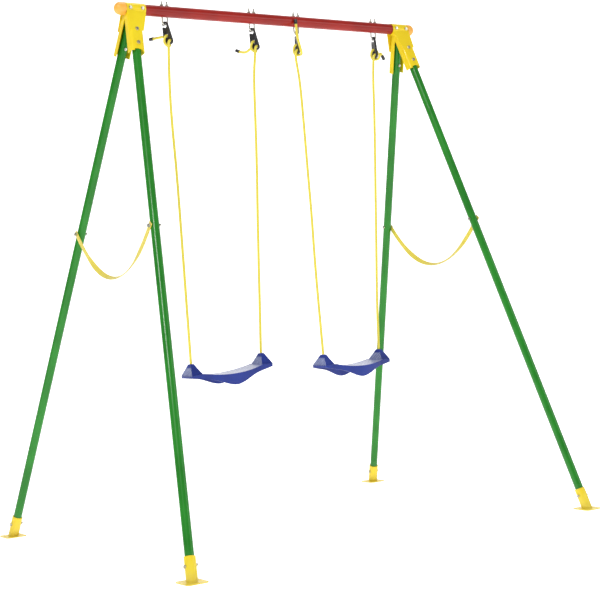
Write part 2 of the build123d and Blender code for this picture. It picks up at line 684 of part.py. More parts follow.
def seat_tray(wall):
    """Seat without its ears, inset by the wall: a plan and a profile crossed."""
    end = SEAT_HALF - wall
    half_end, half_waist, half_belly = (
        width / 2 - wall for width in (SEAT_END_WIDTH, SEAT_WAIST_WIDTH, SEAT_BELLY_WIDTH)
    )
    with BuildSketch() as plan:
        with BuildLine():
            for sy in ENDS.values():
                Line((-end, sy * half_end), (-SEAT_WAIST_X, sy * half_waist))
                ThreePointArc(
                    (-SEAT_WAIST_X, sy * half_waist),
                    (0, sy * half_belly),
                    (SEAT_WAIST_X, sy * half_waist),
                )
                Line((SEAT_WAIST_X, sy * half_waist), (end, sy * half_end))
            for sx in SIDES.values():
                Line((sx * end, -half_end), (sx * end, half_end))
        make_face()
        corners = [v for v in plan.vertices() if abs(v.X) > SEAT_WAIST_X + 1]
        waists = [v for v in plan.vertices() if abs(v.X) < SEAT_WAIST_X + 1]
        fillet(corners, SEAT_CORNER - wall)
        fillet(waists, SEAT_BLEND)
    with BuildSketch(Plane.XZ.offset(-SEAT_HALF)) as profile:
        hem = 2 * wall  # the inset copy runs out through the open underside
        with BuildLine():
            Line((-end, -SKIRT_END_DROP - hem), (-end, -LEDGE_DROP - wall))
            Line((-end, -LEDGE_DROP - wall), (-SURFACE_END[0], -SURFACE_END[1] - wall))
            ThreePointArc(
                (-SURFACE_END[0], -SURFACE_END[1] - wall),
                (0, -SURFACE_DROP - wall),
                (SURFACE_END[0], -SURFACE_END[1] - wall),
            )
            Line((SURFACE_END[0], -SURFACE_END[1] - wall), (end, -LEDGE_DROP - wall))
            Line((end, -LEDGE_DROP - wall), (end, -SKIRT_END_DROP - hem))
            Line((end, -SKIRT_END_DROP - hem), (SKIRT_KNEE[0], -SKIRT_KNEE[1] - hem))
            Spline(
                (SKIRT_KNEE[0], -SKIRT_KNEE[1] - hem),
                (SKIRT_BELLY[0], -SKIRT_BELLY[1] - hem),
                (0, -SKIRT_DROP - hem),
                (-SKIRT_BELLY[0], -SKIRT_BELLY[1] - hem),
                (-SKIRT_KNEE[0], -SKIRT_KNEE[1] - hem),
            )
            Line((-SKIRT_KNEE[0], -SKIRT_KNEE[1] - hem), (-end, -SKIRT_END_DROP - hem))
        make_face()
    with BuildPart() as tray:
        extrude(plan.sketch, amount=-SEAT_HALF)
        extrude(profile.sketch, amount=2 * SEAT_HALF, mode=Mode.INTERSECT)
    return tray.part


def seat_ear(sx, wall):
    """Hollow triangular ear the rope goes down through, inset by the wall."""
    top = -EAR_ROOF if wall else 0.0
    outer_foot = (sx * (EAR_X + EAR_OUTER_RUN - wall), -LEDGE_DROP - 2 * wall)
    outer_top = (sx * (EAR_X + EAR_CREST - wall / 2), top)
    inner_top = (sx * (EAR_X - EAR_CREST + wall / 2), top)
    inner_mid = (sx * (EAR_X - EAR_HOLLOW[0] + wall), -EAR_HOLLOW[1])
    inner_foot = (sx * (SURFACE_END[0] + wall), -SURFACE_END[1] - 2 * wall)
    with BuildSketch(Plane.XZ.offset(-SEAT_HALF)) as profile:
        with BuildLine():
            Polyline(inner_foot, outer_foot, outer_top, inner_top)
            ThreePointArc(inner_top, inner_mid, inner_foot)
        make_face()
    base = EAR_BASE_HALF - wall
    crest = EAR_TOP_HALF - wall / 2
    with BuildSketch(Plane.YZ) as gable:
        foot = -LEDGE_DROP - 2 * wall
        Polygon((-base, foot), (base, foot), (crest, top), (-crest, top), align=None)
    with BuildPart() as ear:
        extrude(profile.sketch, amount=2 * SEAT_HALF)
        extrude(gable.sketch, amount=sx * 2 * SEAT_HALF, mode=Mode.INTERSECT)
    return ear.part


for side in SIDES:
    place = SEAT_PLANES[side].location
    with BuildPart() as seat:
        add(seat_tray(0))
        for sx in SIDES.values():
            add(seat_ear(sx, 0))
        add(seat_tray(SEAT_WALL), mode=Mode.SUBTRACT)
        for sx in SIDES.values():
            add(seat_ear(sx, SEAT_WALL), mode=Mode.SUBTRACT)
            with BuildSketch(Plane.XY):
                with Locations((sx * EAR_X, 0)):
                    Circle(EAR_HOLE / 2)
            extrude(amount=-2 * EAR_ROOF, mode=Mode.SUBTRACT)
    save(seat.part.moved(place), f"{side}_seat")

    with BuildPart() as knots:
        for sx in SIDES.values():
            with BuildSketch(Plane.XZ):
                with Locations((sx * EAR_X, 0)):
                    Polygon(
                        (0, -STUB_DROP),
                        (ROPE_R / 2, -STUB_DROP),
                        (ROPE_R, -STUB_DROP - ROPE_R / 2),
                        (ROPE_R, -KNOT_NECK),
                        (KNOT_DIAMETER / 2, -KNOT_TOP),
                        (KNOT_DIAMETER / 2, -KNOT_TOP - KNOT_LENGTH),
                        (0, -KNOT_TOP - KNOT_LENGTH),
                        align=None,
                    )
            revolve(axis=Axis((sx * EAR_X, 0, 0), (0, 0, 1)))
    save(knots.part.moved(place), f"{side}_seat_knots")

# ---- Ropes and their end caps -------------------------------------------------------
# Points are in the adjuster's frame: across its face, up it, out of its face. Each rope
# comes up in front, goes back through the low hole, forward through the upper one, down
# across the front and back under the notch.
OUT = PLATE / 2 + ROPE_R + 1.0  # rope axis off the adjuster's middle plane
REEVING = (
    (2.0, -95.0, OUT),
    (*LOWER_HOLE, OUT),
    (*LOWER_HOLE, -OUT),
    (*UPPER_HOLE, -OUT),
    (*UPPER_HOLE, OUT),
    (-14.0, -62.0, OUT),
    (*NOTCH, OUT),
    (*NOTCH, -OUT),
)
TAILS = (
    ((-9.0, -56.0, -OUT), (-22.0, -36.0, -OUT), (-55.0, -29.0, -12.0), (-92.0, -21.0, -12.0)),
    ((-8.0, -62.0, -OUT), (-30.0, -58.0, -OUT), (-66.0, -68.0, -12.0), (-100.0, -46.0, -12.0)),
    ((20.0, -82.0, -OUT), (33.0, -62.0, -1.0), (34.0, -38.0, 5.0)),
    ((16.0, -80.0, -OUT), (24.0, -62.0, -11.0), (36.0, -68.0, -12.0), (48.0, -88.0, -12.0)),
)
STANDING_TAIL = ((34.0, -38.0, 5.0), (35.0, -14.0, 11.0), (36.0, 16.0, 12.0), (35.0, 44.0, 13.0))
STANDING_INDEX = 2


def easy_radii(points):
    """Bend radii that leave a short straight between one bend and the next."""
    radii = []
    for before, corner, after in zip(points, points[1:], points[2:]):
        into, out = corner - before, after - corner
        half_turn = radians(into.get_angle(out)) / 2
        radii.append(round(0.45 * min(into.length, out.length) / tan(half_turn), 1))
    return radii


def lay_rope(points, name):
    radii = easy_radii(points)
    with BuildPart() as rope:
        with BuildLine() as route:
            FilletPolyline(*points, radius=radii)
        with BuildSketch(Plane(origin=points[0], z_dir=points[1] - points[0])):
            Circle(ROPE_R)
        sweep()
    length = route.wires()[0].length
    share = rope.part.volume / (pi * ROPE_R**2 * length)
    print(name, "length", round(length, 1), "bend radii", radii, "volume share", round(share, 4))
    save(rope.part, name)


def end_cap(points, name):
    """Cup on the end of a rope: the rope goes most of the way in."""
    out = (points[-1] - points[-2]).normalized()
    mouth = Plane(origin=points[-1] - out * ROPE_CAP_GRIP, z_dir=out)
    with BuildPart() as cap:
        with BuildSketch(mouth):
            Circle(ROPE_CAP_DIAMETER / 2)
        extrude(amount=ROPE_CAP_LENGTH)
        fillet(cap.edges().filter_by(GeomType.CIRCLE), ROPE_CAP_DIAMETER / 12)
        with BuildSketch(mouth):
            Circle(ROPE_R + RUNNING_FIT)
        extrude(amount=ROPE_CAP_GRIP + RUNNING_FIT, mode=Mode.SUBTRACT)
    save(cap.part, name)


for index, (side, place) in enumerate(HANGERS):
    face = hanger_plane(index)
    seat = SEAT_PLANES[side]
    ear_x = EAR_X if HANGER_X[index] > SIDES[side] * SEAT_X else -EAR_X
    ear_top = seat.from_local_coords(Vector(ear_x, 0, 0))
    upper = [face.from_local_coords(Vector(*p)) for p in REEVING + TAILS[index]]
    up_rope = (upper[0] - ear_top).normalized()
    points = [ear_top + up_rope * ROPE_LIFT] + upper
    lay_rope(points, f"{side}_{place}_rope")
    if index != STANDING_INDEX:
        end_cap(points, f"{side}_{place}_rope_cap")

face = hanger_plane(STANDING_INDEX)
points = [face.from_local_coords(Vector(*p)) for p in STANDING_TAIL]
side, place = HANGERS[STANDING_INDEX]
lay_rope(points, f"{side}_{place}_rope_tail")
end_cap(points, f"{side}_{place}_rope_cap")
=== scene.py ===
"""Double swing set: looks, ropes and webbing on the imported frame."""

import json
from math import cos, pi, radians, sin

import bpy
import numpy as np
from mathutils import Matrix, Vector


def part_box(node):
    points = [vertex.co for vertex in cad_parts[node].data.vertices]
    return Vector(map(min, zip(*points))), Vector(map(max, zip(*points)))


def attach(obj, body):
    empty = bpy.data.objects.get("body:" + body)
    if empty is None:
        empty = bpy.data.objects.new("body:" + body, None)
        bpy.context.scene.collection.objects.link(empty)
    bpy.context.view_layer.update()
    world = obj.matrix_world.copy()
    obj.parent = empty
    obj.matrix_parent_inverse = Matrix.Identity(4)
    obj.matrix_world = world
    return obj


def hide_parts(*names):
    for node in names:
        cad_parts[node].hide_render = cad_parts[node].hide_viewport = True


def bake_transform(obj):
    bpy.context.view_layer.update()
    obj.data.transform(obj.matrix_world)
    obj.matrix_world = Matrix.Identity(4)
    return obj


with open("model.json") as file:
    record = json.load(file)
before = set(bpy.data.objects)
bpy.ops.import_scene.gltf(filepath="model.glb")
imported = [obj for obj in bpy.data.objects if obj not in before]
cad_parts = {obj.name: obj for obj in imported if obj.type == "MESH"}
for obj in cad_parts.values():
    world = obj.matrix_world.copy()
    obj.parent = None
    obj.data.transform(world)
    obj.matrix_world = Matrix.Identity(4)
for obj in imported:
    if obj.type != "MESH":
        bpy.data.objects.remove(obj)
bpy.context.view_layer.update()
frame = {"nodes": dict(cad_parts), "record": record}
scene = bpy.context.scene
MM = 0.001

# ---- Camera ------------------------------------------------------------------------
CAMERA_AT = Vector((-3.2826, -4.6475, 0.9248))
CAMERA_YAW = radians(35.70)
CAMERA_PITCH = radians(-0.62)
CAMERA_ROLL = radians(-2.905)
CAMERA_LENS = 88.0


def make_camera():
    yaw, pitch, roll = CAMERA_YAW, CAMERA_PITCH, CAMERA_ROLL
    ahead = Vector((sin(yaw) * cos(pitch), cos(yaw) * cos(pitch), sin(pitch)))
    right = Vector((cos(yaw), -sin(yaw), 0))
    up = right.cross(ahead)
    tilted_right = cos(roll) * right + sin(roll) * up
    tilted_up = -sin(roll) * right + cos(roll) * up
    turn = Matrix((tilted_right, tilted_up, -ahead)).transposed()
    camera = bpy.data.objects.new("camera", bpy.data.cameras.new("camera"))
    camera.matrix_world = Matrix.Translation(CAMERA_AT) @ turn.to_4x4()
    camera.data.lens = CAMERA_LENS
    camera.data.sensor_width = 36.0
    camera.data.clip_end = 100.0
    scene.collection.objects.link(camera)
    scene.camera = camera


make_camera()

# ---- Rope routes -------------------------------------------------------------------
# The same points as the CAD ropes, in millimetres in each adjuster's own frame: across
# its face, up it, out of its face.
BAR_HEIGHT = 1950.0
BAR_R = 21.0
FOOT_Y = 666.5
WIRE_HEIGHT = 1902.0
ROPE_R = 5.0
OUT = 10.5
LOWER_HOLE = (10.5, -64.0)
UPPER_HOLE = (0.0, -42.0)
NOTCH = (-3.5, -81.0)
REEVING = (
    (2.0, -95.0, OUT),
    (*LOWER_HOLE, OUT),
    (*LOWER_HOLE, -OUT),
    (*UPPER_HOLE, -OUT),
    (*UPPER_HOLE, OUT),
    (-14.0, -62.0, OUT),
    (*NOTCH, OUT),
    (*NOTCH, -OUT),
)
TAILS = (
    ((-9.0, -56.0, -OUT), (-22.0, -36.0, -OUT), (-55.0, -29.0, -12.0), (-92.0, -21.0, -12.0)),
    ((-8.0, -62.0, -OUT), (-30.0, -58.0, -OUT), (-66.0, -68.0, -12.0), (-100.0, -46.0, -12.0)),
    ((20.0, -82.0, -OUT), (33.0, -62.0, -1.0), (34.0, -38.0, 5.0)),
    ((16.0, -80.0, -OUT), (24.0, -62.0, -11.0), (36.0, -68.0, -12.0), (48.0, -88.0, -12.0)),
)
STANDING_INDEX = 2  # the hanger whose free tail leans on the crossbar
STANDING_TAIL = ((34.0, -38.0, 5.0), (35.0, -14.0, 11.0), (36.0, 16.0, 12.0), (35.0, 44.0, 13.0))
HANGERS = (
    # side, place, x, turn and tilt of the adjuster
    ("left", "outer", -490.0, 16.0, 12.0),
    ("left", "inner", -104.5, 15.0, 10.0),
    ("right", "inner", 104.5, -16.0, 2.0),
    ("right", "outer", 490.0, -12.0, 5.0),
)
# How far each long run bows along X with the set of the rope: share of the way up from
# the seat, then millimetres.
SLACK = (
    ((0.05, 0.0), (0.4, -1.5), (0.62, -3.0), (0.78, -9.0), (0.9, -7.0)),
    ((0.05, 0.0), (0.45, -3.0), (0.62, -1.5), (0.8, -5.0), (0.93, -8.0)),
    ((0.05, 0.0), (0.3, 1.0), (0.47, 7.0), (0.62, 8.0), (0.78, 10.5), (0.93, 11.0)),
    ((0.05, 0.0), (0.15, -4.0), (0.35, -2.0), (0.55, -1.0), (0.8, 1.0), (0.94, -3.0)),
)
EAR_X = 157.5
SEATS = {
    # side: middle of the line through the ear tops, lean, twist
    "left": (Vector((-297.0, 0.0, 659.0)), 3.6, 0.0),
    "right": (Vector((297.0, 0.0, 644.0)), 0.0, 7.6),
}
ROPE_LIFT = 1.0


def seat_axis(side):
    lean, twist = radians(SEATS[side][1]), radians(SEATS[side][2])
    return Vector((cos(lean) * cos(twist), sin(twist), sin(lean)))


def hanger_point(index, across, up, out):
    """Row-frame point, in millimetres, from an adjuster's own coordinates."""
    x, turn, tilt = HANGERS[index][2:]
    turn, tilt = radians(turn), radians(tilt)
    across_dir = Vector((sin(turn), -cos(turn), 0)) * cos(tilt) + Vector((0, 0, sin(tilt)))
    out_dir = Vector((-cos(turn), -sin(turn), 0))
    up_dir = out_dir.cross(across_dir)
    middle = Vector((x, 0, WIRE_HEIGHT))
    return middle + across_dir * across + up_dir * up + out_dir * out


def spline_line(points):
    """Points along a smooth NURBS line, in metres, through the given controls."""
    data = bpy.data.curves.new("route", "CURVE")
    data.dimensions = "3D"
    data.resolution_u = 24
    spline = data.splines.new("NURBS")
    spline.points.add(len(points) - 1)
    for control, point in zip(spline.points, points):
        control.co = (*(point * MM), 1.0)
    spline.order_u = 3
    spline.use_endpoint_u = True
    holder = bpy.data.objects.new("route", data)
    scene.collection.objects.link(holder)
    bpy.context.view_layer.update()
    mesh = bpy.data.meshes.new_from_object(holder)
    line = np.array([v.co for v in mesh.vertices])
    bpy.data.objects.remove(holder)
    bpy.data.meshes.remove(mesh)
    return line


def even(line, step):
    """The same line with its points an even step apart."""
    lengths = np.r_[0, np.cumsum(np.linalg.norm(np.diff(line, axis=0), axis=1))]
    places = np.linspace(0, lengths[-1], max(2, int(lengths[-1] / step)) + 1)
    return np.stack([np.interp(places, lengths, line[:, k]) for k in range(3)], 1), places


def mesh_object(name, verts, faces, uvs=None):
    mesh = bpy.data.meshes.new(name)
    mesh.from_pydata([tuple(v) for v in verts], [], faces)
    if uvs is not None:
        layer = mesh.uv_layers.new(name="UVMap")
        flat = np.array([uv for face in uvs for uv in face], np.float32).ravel()
        layer.data.foreach_set("uv", flat)
    mesh.update()
    mesh.polygons.foreach_set("use_smooth", [True] * len(mesh.polygons))
    piece = bpy.data.objects.new(name, mesh)
    scene.collection.objects.link(piece)
    return piece


def ring_face(i, k, around):
    """Corners of the face between two neighbouring rings of vertices."""
    j = (k + 1) % around
    return (i * around + k, i * around + j, (i + 1) * around + j, (i + 1) * around + k)


BRAID_STRANDS = 8
BRAID_PITCH = 0.032  # metres for one turn of a strand
BRAID_DEPTH = 0.00028
UV_LENGTH = 0.01  # metres of rope for each unit of its UV map


def braid(angle, place):
    """Height of the plait at an angle round the rope and a place along it, 0 to 1."""
    turn = 2 * pi * place / BRAID_PITCH
    a = np.cos(BRAID_STRANDS * (angle + turn) / 2)
    b = np.cos(BRAID_STRANDS * (angle - turn) / 2)
    over = a * b > 0
    return np.where(over, np.abs(a), np.abs(b)) ** 0.6


def rope_tube(name, line, radius, around=32, step=0.0011):
    """Closed tube along a line with the plait's relief, and a UV map that runs along it."""
    centres, places = even(line, step)
    ahead = np.gradient(centres, axis=0)
    ahead /= np.linalg.norm(ahead, axis=1)[:, None]
    side = np.cross(ahead[0], (0.3, 0.9, 0.2))
    side /= np.linalg.norm(side)
    angles = np.linspace(0, 2 * pi, around, endpoint=False)
    verts = []
    for centre, along, place in zip(centres, ahead, places):
        side = side - along * side.dot(along)
        side /= np.linalg.norm(side)
        other = np.cross(along, side)
        r = radius - BRAID_DEPTH * (1 - braid(angles, place))
        spokes = np.cos(angles)[:, None] * side + np.sin(angles)[:, None] * other
        ring = centre + r[:, None] * spokes
        verts.append(ring)
    count = len(centres)
    verts = np.concatenate(verts + [centres[:1], centres[-1:]])
    faces, uvs = [], []
    for i in range(count - 1):
        v0, v1 = places[i] / UV_LENGTH, places[i + 1] / UV_LENGTH
        for k in range(around):
            u0, u1 = k / around, (k + 1) / around
            faces.append(ring_face(i, k, around))
            uvs.append(((u0, v0), (u1, v0), (u1, v1), (u0, v1)))
    first, last = count * around, count * around + 1
    for k in range(around):
        j = (k + 1) % around
        faces.append((first, j, k))
        uvs.append(((0, 0), (0, 0), (0, 0)))
        faces.append((last, (count - 1) * around + k, (count - 1) * around + j))
        uvs.append(((0, 0), (0, 0), (0, 0)))
    return mesh_object(name, verts, faces, uvs), centres


# ---- Node helpers for materials ----------------------------------------------------
class Look:
    """A principled material built node by node."""

    def __init__(self, name):
        self.material = bpy.data.materials.new(name)
        self.material.use_nodes = True
        self.tree = self.material.node_tree
        self.shader = self.tree.nodes["Principled BSDF"]
        self.coords = self.add("ShaderNodeTexCoord")

    def add(self, kind, **settings):
        node = self.tree.nodes.new(kind)
        for key, value in settings.items():
            setattr(node, key, value)
        return node

    def link(self, source, target):
        self.tree.links.new(source, target)

    def set(self, **values):
        for key, value in values.items():
            self.shader.inputs[key.replace("_", " ")].default_value = value

    def noise(self, scale, detail=4.0, rough=0.55):
        node = self.add("ShaderNodeTexNoise")
        node.inputs["Scale"].default_value = scale
        node.inputs["Detail"].default_value = detail
        node.inputs["Roughness"].default_value = rough
        self.link(self.coords.outputs["Object"], node.inputs["Vector"])
        return node.outputs["Fac"]

    def ramp(self, source, low, high, a=0.0, b=1.0):
        node = self.add("ShaderNodeMapRange", interpolation_type="SMOOTHSTEP")
        node.inputs["From Min"].default_value = low
        node.inputs["From Max"].default_value = high
        node.inputs["To Min"].default_value = a
        node.inputs["To Max"].default_value = b
        self.link(source, node.inputs["Value"])
        return node.outputs["Result"]

    def maths(self, operation, a, b=0.0, c=0.0):
        node = self.add("ShaderNodeMath", operation=operation)
        for slot, value in zip(node.inputs, (a, b, c)):
            if isinstance(value, (int, float)):
                slot.default_value = value
            else:
                self.link(value, slot)
        return node.outputs[0]

    def mix(self, share, a, b):
        node = self.add("ShaderNodeMix", data_type="RGBA")
        for slot, value in ((node.inputs[0], share), (node.inputs[6], a), (node.inputs[7], b)):
            if isinstance(value, (int, float)):
                slot.default_value = value
            elif isinstance(value, tuple):
                slot.default_value = (*value, 1.0)
            else:
                self.link(value, slot)
        return node.outputs[2]

    def bump(self, height, strength, distance, onto=None):
        node = self.add("ShaderNodeBump")
        node.inputs["Strength"].default_value = strength
        node.inputs["Distance"].default_value = distance
        self.link(height, node.inputs["Height"])
        if onto is not None:
            self.link(onto, node.inputs["Normal"])
        return node.outputs["Normal"]

    def split(self, source):
        node = self.add("ShaderNodeSeparateXYZ")
        self.link(source, node.inputs[0])
        return node.outputs

    def finish(self, color=None, roughness=None, normal=None):
        if color is not None:
            self.link(color, self.shader.inputs["Base Color"])
        if roughness is not None:
            self.link(roughness, self.shader.inputs["Roughness"])
        if normal is not None:
            self.link(normal, self.shader.inputs["Normal"])
        return self.material


def enamel(name, base, deep, pale, roughness):
    """Gloss paint on steel: orange peel, slight mottling, dust low down and fine scuffs."""
    look = Look(name)
    z = look.split(look.coords.outputs["Object"])[2]
    mottle = look.ramp(look.noise(7.0, 6.0), 0.35, 0.7)
    color = look.mix(mottle, base, deep)
    scuffs = look.ramp(look.noise(140.0, 8.0, 0.7), 0.66, 0.74)
    scuffs = look.maths("MULTIPLY", scuffs, look.ramp(look.noise(11.0, 3.0), 0.5, 0.62))
    color = look.mix(look.maths("MULTIPLY", scuffs, 0.45), color, pale)
    dust = look.maths("MULTIPLY", look.ramp(z, 0.12, 0.0), look.noise(60.0, 6.0))
    color = look.mix(look.maths("MULTIPLY", dust, 0.25), color, (0.5, 0.47, 0.4))
    peel = look.bump(look.noise(420.0, 2.0), 0.10, 0.0004)
    rough = look.maths("ADD", look.maths("MULTIPLY", scuffs, 0.25), roughness)
    rough = look.maths("ADD", rough, look.maths("MULTIPLY", dust, 0.3))
    look.set(Coat_Weight=0.2, Coat_Roughness=0.06, Specular_IOR_Level=0.25)
    return look.finish(color, rough, look.bump(look.noise(24.0, 3.0), 0.06, 0.0015, peel))


def moulded(name, base, deep, roughness, grain=900.0, strength=0.12):
    """Injection-moulded plastic with a fine spark-eroded grain and a few handling marks."""
    look = Look(name)
    color = look.mix(look.ramp(look.noise(18.0, 5.0), 0.3, 0.75), base, deep)
    patchiness = look.ramp(look.noise(220.0, 7.0, 0.75), 0.68, 0.76)
    rough = look.maths("ADD", look.maths("MULTIPLY", patchiness, 0.2), roughness)
    fine = look.bump(look.noise(grain, 2.0), strength, 0.0003)
    look.set(Specular_IOR_Level=0.5)
    return look.finish(color, rough, look.bump(look.noise(45.0, 2.0), 0.05, 0.001, fine))


THREAD_PITCH = 0.00115  # metres


def plated(name, base, tint, roughness, threads=False):
    """Bright zinc: metal with a faint passivation tint and fine scratches."""
    look = Look(name)
    color = look.mix(look.ramp(look.noise(130.0, 5.0), 0.35, 0.7), base, tint)
    grain = look.noise(1500.0, 3.0)
    rough = look.maths("ADD", look.maths("MULTIPLY", look.noise(300.0, 6.0), 0.22), roughness)
    normal = look.bump(grain, 0.15, 0.0002)
    if threads:
        z = look.split(look.coords.outputs["Object"])[2]
        ridges = look.maths("SINE", look.maths("MULTIPLY", z, 2 * pi / THREAD_PITCH))
        bar_top = BAR_HEIGHT + BAR_R
        high = look.ramp(z, bar_top * MM, (bar_top + 1) * MM)
        normal = look.bump(look.maths("MULTIPLY", ridges, high), 0.9, 0.0004, normal)
    look.set(Metallic=1.0)
    return look.finish(color, rough, normal)


def woven(name, base, deep, across, along, lift):
    """Yarn on a UV map: rows of crossing threads, with painted shade in the gaps between them."""
    look = Look(name)
    u, v = look.split(look.coords.outputs["UV"])[:2]
    u, v = look.maths("MULTIPLY", u, across), look.maths("MULTIPLY", v, along)
    a, b = look.maths("ADD", u, v), look.maths("SUBTRACT", u, v)
    rows_a = look.maths("ABSOLUTE", look.maths("SINE", look.maths("MULTIPLY", a, pi)))
    rows_b = look.maths("ABSOLUTE", look.maths("SINE", look.maths("MULTIPLY", b, pi)))
    weave = look.maths("MULTIPLY", rows_a, rows_b)
    shade = look.ramp(weave, 0.0, 0.5)
    worn = look.maths("MULTIPLY", look.noise(26.0, 6.0), 0.35)
    # Painted shade: where the weave is low, between the threads, the colour goes towards deep.
    color = look.mix(look.maths("SUBTRACT", 1.0, shade), base, deep)
    color = look.mix(worn, color, tuple(0.75 * c + 0.12 for c in base))
    fibre = look.bump(look.noise(1600.0, 3.0), 0.3, 0.0003)
    look.set(Roughness=0.42, Sheen_Weight=0.35, Sheen_Roughness=0.4, Specular_IOR_Level=0.5)
    return look.finish(color, None, look.bump(weave, lift, 0.0005, fibre))


# Where the seats' raised texture and painted sheen fade out, and the texture's pitches, in
# metres from the middle of the line through the tops of the ears.
SEATING_END = (0.131, 0.122)
SEATING_SIDE = (0.054, 0.049)
EAR_FOOT = (-0.046, -0.036)
EAR_BROW = (-0.010, -0.016)
RIB_PITCH = 0.0085
RIB_LENGTH = 0.021
EAR_ROW = 0.0075
EAR_DOT = 0.0095


def seat_plastic(name, side):
    """Blow-moulded seat: gloss skin, raised ribs on the seating face and on the ears, painted sheen
    on those faces and painted highlights on the rib tops.
    """
    middle, lean, twist = SEATS[side]
    look = Look(name)
    place = look.add("ShaderNodeMapping", vector_type="TEXTURE")
    place.inputs["Location"].default_value = middle * MM
    place.inputs["Rotation"].default_value = (0.0, -radians(lean), radians(twist))
    look.link(look.coords.outputs["Object"], place.inputs["Vector"])
    x, y, z = look.split(place.outputs[0])
    normal = look.split(look.coords.outputs["Normal"])
    face_up = look.ramp(normal[2], 0.78, 0.92)
    in_length = look.ramp(look.maths("ABSOLUTE", x), *SEATING_END)
    in_width = look.ramp(look.maths("ABSOLUTE", y), *SEATING_SIDE)
    seating = look.maths("MULTIPLY", face_up, look.maths("MULTIPLY", in_length, in_width))
    bars = look.maths("SINE", look.maths("MULTIPLY", y, 2 * pi / RIB_PITCH))
    breaks = look.maths("SINE", look.maths("MULTIPLY", x, 2 * pi / RIB_LENGTH))
    stagger = look.maths("SINE", look.maths("MULTIPLY", y, pi / RIB_PITCH))
    gaps = look.ramp(look.maths("MULTIPLY", breaks, stagger), -0.75, -0.45)
    ribs = look.maths("MULTIPLY", look.ramp(bars, -0.3, 0.6), gaps)
    upright = look.ramp(look.maths("ABSOLUTE", normal[0]), 0.55, 0.7)
    ear_side = look.maths("MULTIPLY", upright, look.ramp(z, *EAR_FOOT))
    ear_side = look.maths("MULTIPLY", ear_side, look.ramp(z, *EAR_BROW))
    ear_rows = look.maths("SINE", look.maths("MULTIPLY", z, 2 * pi / EAR_ROW))
    ear_dots = look.maths("SINE", look.maths("MULTIPLY", y, 2 * pi / EAR_DOT))
    dots = look.ramp(look.maths("MULTIPLY", ear_rows, ear_dots), 0.1, 0.5)
    raised_ribs = look.maths("MULTIPLY", ribs, seating)
    relief = look.maths("ADD", raised_ribs, look.maths("MULTIPLY", dots, ear_side))
    # In the seat these patches only vary how strong the painted sheen is.
    patchiness = look.ramp(look.noise(90.0, 8.0, 0.7), 0.45, 0.7)
    mottle = look.ramp(look.noise(14.0, 4.0), 0.35, 0.7)
    body = look.mix(mottle, (0.012, 0.034, 0.27), (0.008, 0.022, 0.19))
    # Painted sheen: the upward seating face and the ears' sides are made paler, in patches, towards
    # a pale blue.
    zone = look.maths("MAXIMUM", seating, ear_side)
    painted_sheen = look.maths("MULTIPLY", zone, look.maths("ADD", look.maths("MULTIPLY", patchiness, 0.3), 0.25))
    body = look.mix(painted_sheen, body, (0.42, 0.47, 0.66))
    # Painted highlight: the tops of the ribs and of the ears' dots are made paler still.
    body = look.mix(look.maths("MULTIPLY", relief, 0.55), body, (0.62, 0.66, 0.80))
    rough = look.maths("ADD", look.maths("MULTIPLY", look.noise(60.0, 5.0), 0.16), 0.24)
    fine = look.bump(look.noise(700.0, 2.0), 0.10, 0.0003)
    look.set(Coat_Weight=0.15, Coat_Roughness=0.12, Specular_IOR_Level=0.35)
    return look.finish(body, rough, look.bump(relief, 0.8, 0.0012, fine))


# The second colour of each yarn is the painted shade between its threads.
ROPE_LOOK = woven("rope_yarn", (0.86, 0.74, 0.05), (0.58, 0.44, 0.02), 8.0, 2.5, 0.35)
WEBBING_LOOK = woven("webbing_yarn", (0.90, 0.76, 0.05), (0.68, 0.50, 0.02), 1.0, 1.0, 0.7)
LOOKS = {
    "green_paint": enamel(
        "green_enamel", (0.018, 0.225, 0.018), (0.010, 0.165, 0.010), (0.12, 0.4, 0.12), 0.26
    ),
    "red_paint": enamel(
        "red_enamel", (0.33, 0.010, 0.005), (0.24, 0.007, 0.004), (0.55, 0.12, 0.09), 0.28
    ),
    "yellow_paint": enamel(
        "yellow_enamel", (0.87, 0.68, 0.016), (0.80, 0.58, 0.010), (0.9, 0.75, 0.25), 0.30
    ),
    "amber_plastic": moulded("amber_plastic", (0.92, 0.46, 0.075), (0.80, 0.36, 0.045), 0.32),
    "black_plastic": moulded("black_plastic", (0.014, 0.014, 0.015), (0.022, 0.022, 0.024), 0.30),
    "yellow_rope": ROPE_LOOK,
    "yellow_webbing": WEBBING_LOOK,
    "zinc": plated("zinc_plate", (0.60, 0.59, 0.55), (0.50, 0.48, 0.40), 0.16, threads=True),
    "steel": plated("spring_steel", (0.66, 0.66, 0.66), (0.55, 0.55, 0.56), 0.14),
}
SEAT_LOOKS = {side: seat_plastic(f"{side}_seat_plastic", side) for side in SEATS}
for part in frame["record"]["subparts"]:
    node = frame["nodes"][part["node"]]
    if part["material_slot"] == "blue_plastic":
        look = SEAT_LOOKS[part["node"].split("_")[0]]
    else:
        look = LOOKS[part["material_slot"]]
    if not node.material_slots:
        node.data.materials.append(look)
    for slot in node.material_slots:
        slot.material = look

# ---- Ropes -------------------------------------------------------------------------
for index, (side, place, x, turn, tilt) in enumerate(HANGERS):
    ear = EAR_X if abs(x) > abs(SEATS[side][0].x) else -EAR_X
    ear = ear if side == "right" else -ear
    ear_top = SEATS[side][0] + seat_axis(side) * ear
    route = [hanger_point(index, *p) for p in REEVING + TAILS[index]]
    start = ear_top + (route[0] - ear_top).normalized() * ROPE_LIFT
    run = route[0] - start
    bowed = [start + run * share + Vector((bow, 0, 0)) for share, bow in SLACK[index]]
    line = spline_line([start] + bowed + route)
    rope, path = rope_tube(f"{side}_{place}_rope_braid", line, ROPE_R * MM)
    rope.data.materials.append(ROPE_LOOK)
    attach(rope, f"{side}_swing")
    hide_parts(f"{side}_{place}_rope")

